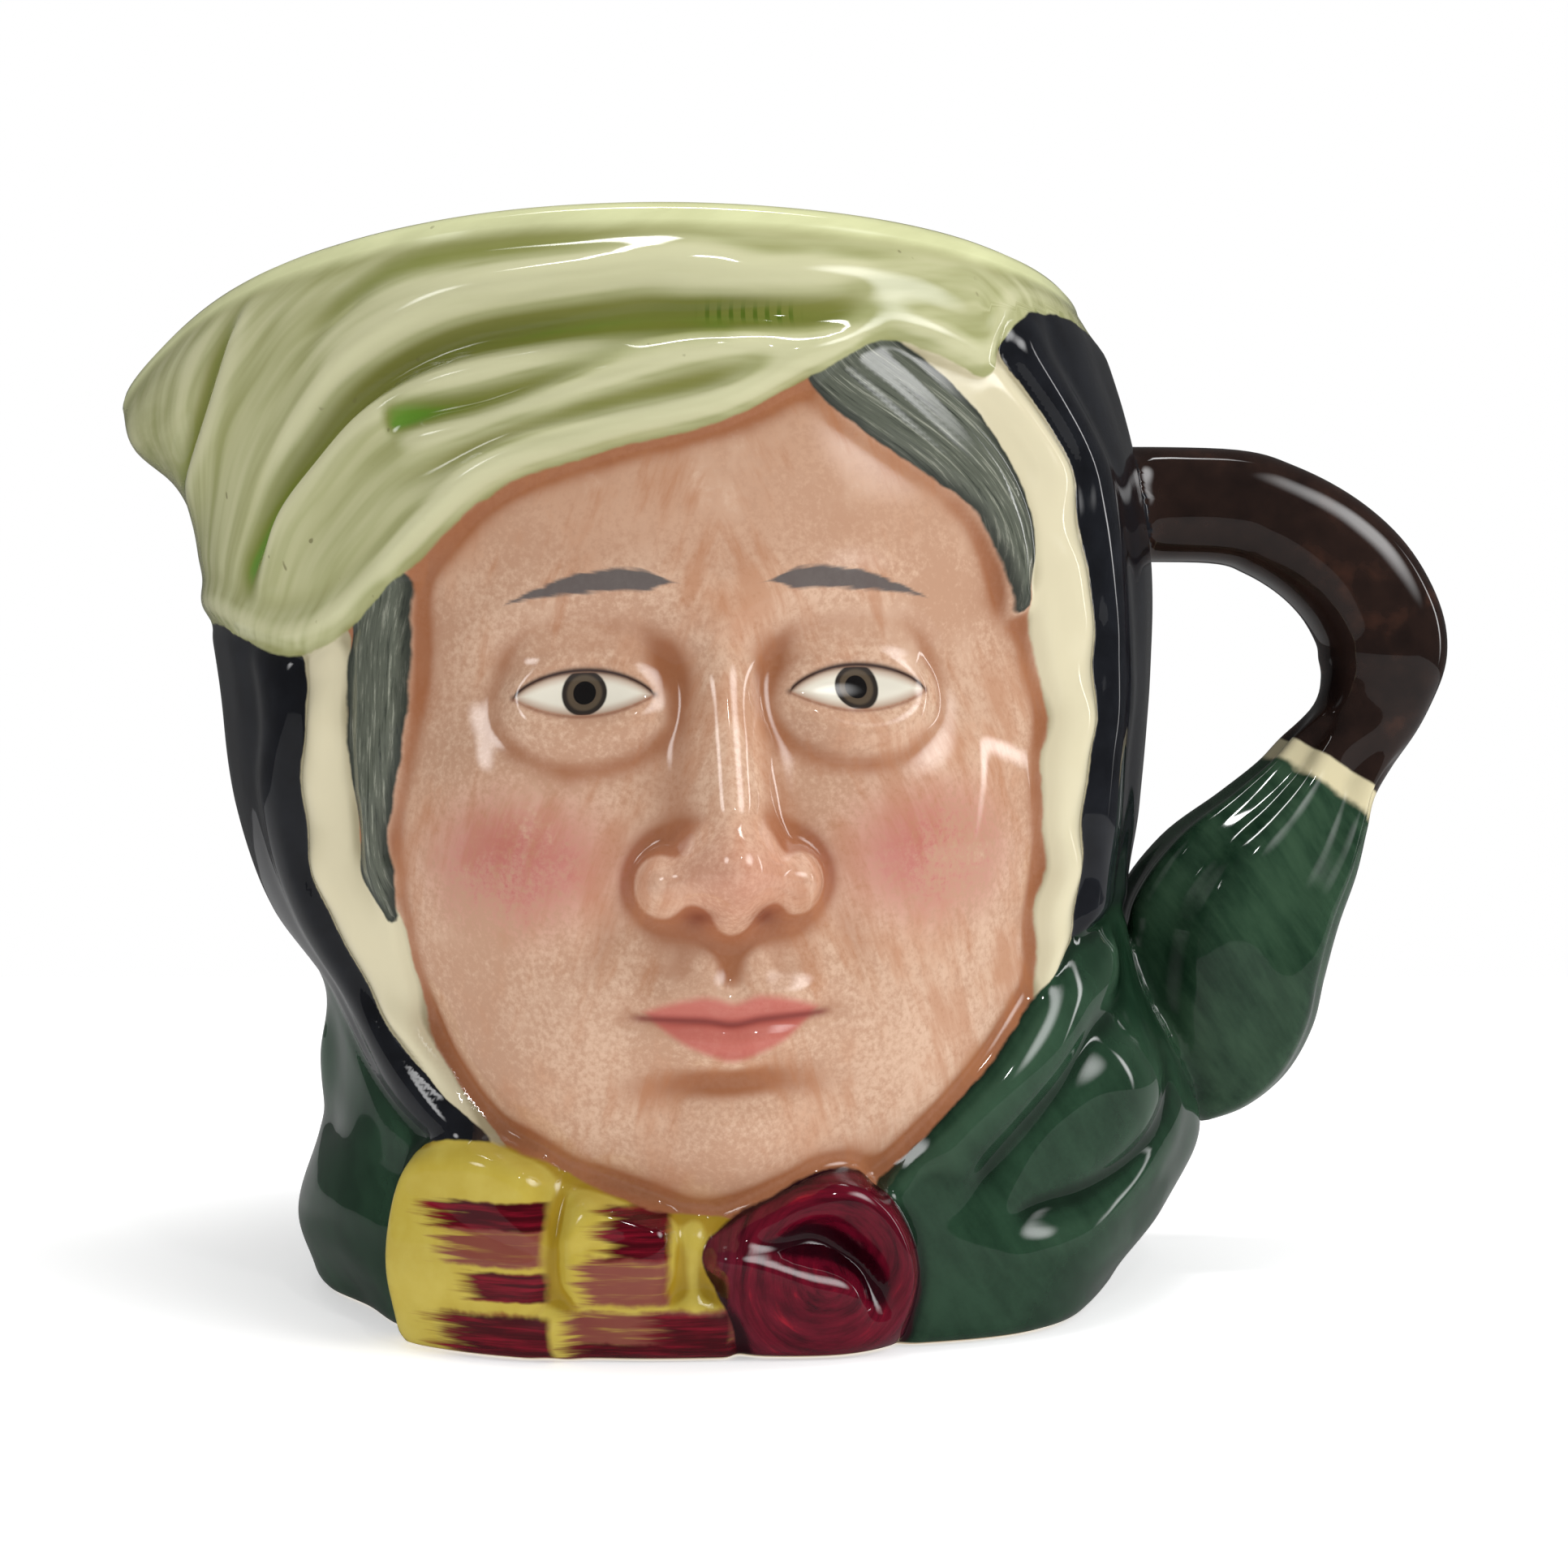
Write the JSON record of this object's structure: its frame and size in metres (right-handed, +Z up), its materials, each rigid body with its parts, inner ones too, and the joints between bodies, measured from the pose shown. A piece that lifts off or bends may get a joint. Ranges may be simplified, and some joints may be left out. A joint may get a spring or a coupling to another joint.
{
  "type": "toby jug",
  "caption": "Small glazed earthenware toby jug: a head in a draped cap over a coat and neckcloth, hollow, with a pouring lip on one side and a loop handle on the other.",
  "frame": {"origin": "on the table, under the middle of the jug's box", "axes": "+Z up, -Y the way the face looks, +X towards the handle, -X towards the pouring lip"},
  "size_m": [0.1104, 0.0816, 0.08],
  "materials": {
    "painted_glaze": "clear glossy glaze over hand-painted colours, ivory inside"
  },
  "bodies": {
    "root": {"jug": "painted_glaze"}
  },
  "joints": []
}
